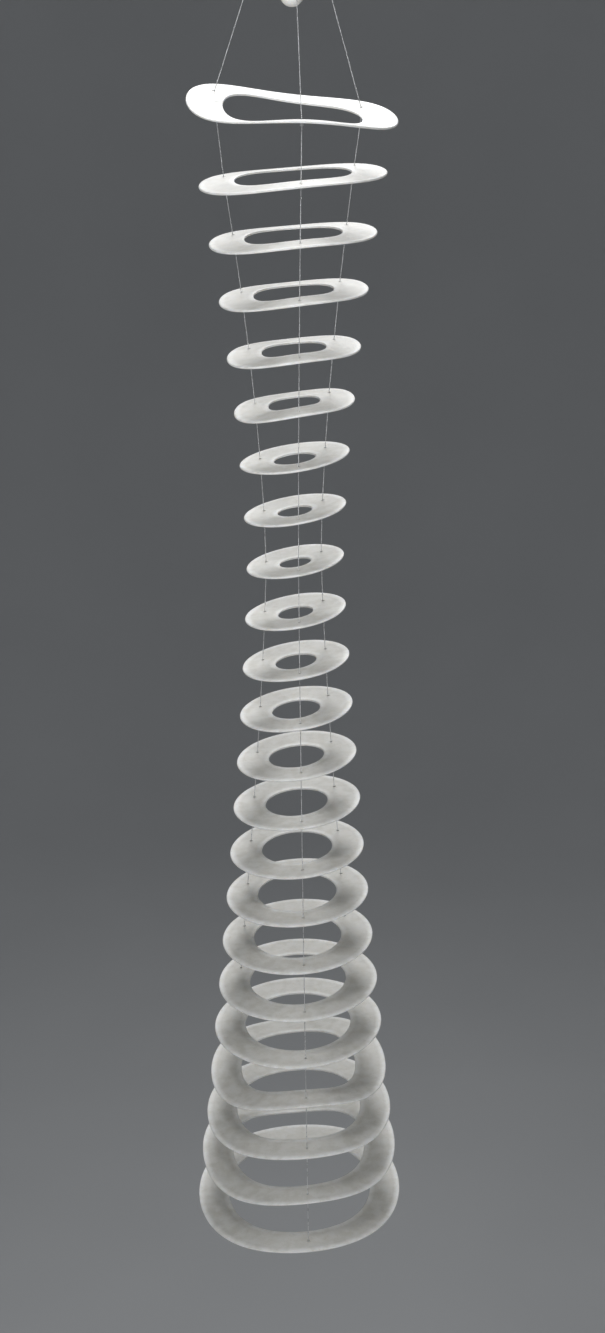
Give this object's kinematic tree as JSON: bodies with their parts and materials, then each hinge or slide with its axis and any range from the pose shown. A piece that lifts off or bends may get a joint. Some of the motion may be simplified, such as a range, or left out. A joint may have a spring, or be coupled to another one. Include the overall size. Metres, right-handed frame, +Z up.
{
  "type": "hanging mobile",
  "caption": "Hanging mobile: flat white rings strung one below the other on three thin cords, wide at the top, narrow at the waist and widest at the foot.",
  "frame": {"origin": "the inside top of the small steel hanging ring, where the ceiling hook bears; everything hangs below it", "axes": "+Z up along the mobile's axis, -Y towards the front, where one of the three cords runs, +X to the right seen from the front"},
  "size_m": [0.2344, 0.2354, 1.4975],
  "materials": {
    "white_porcelain": "matte",
    "nylon_cord": "satin",
    "steel": "satin"
  },
  "bodies": {
    "root": {"hanging_ring": "steel", "gather_knot": "nylon_cord", "centre_line": "nylon_cord", "centre_bead": "white_porcelain", "ring_01": "white_porcelain", "ring_02": "white_porcelain", "ring_03": "white_porcelain", "ring_04": "white_porcelain", "ring_05": "white_porcelain", "ring_06": "white_porcelain", "ring_07": "white_porcelain", "ring_08": "white_porcelain", "ring_09": "white_porcelain", "ring_10": "white_porcelain", "ring_11": "white_porcelain", "ring_12": "white_porcelain", "ring_13": "white_porcelain", "ring_14": "white_porcelain", "ring_15": "white_porcelain", "ring_16": "white_porcelain", "ring_17": "white_porcelain", "ring_18": "white_porcelain", "ring_19": "white_porcelain", "ring_20": "white_porcelain", "ring_21": "white_porcelain", "ring_22": "white_porcelain", "ring_23": "white_porcelain", "cord_front": "nylon_cord", "cord_back_right": "nylon_cord", "cord_back_left": "nylon_cord"}
  },
  "joints": []
}
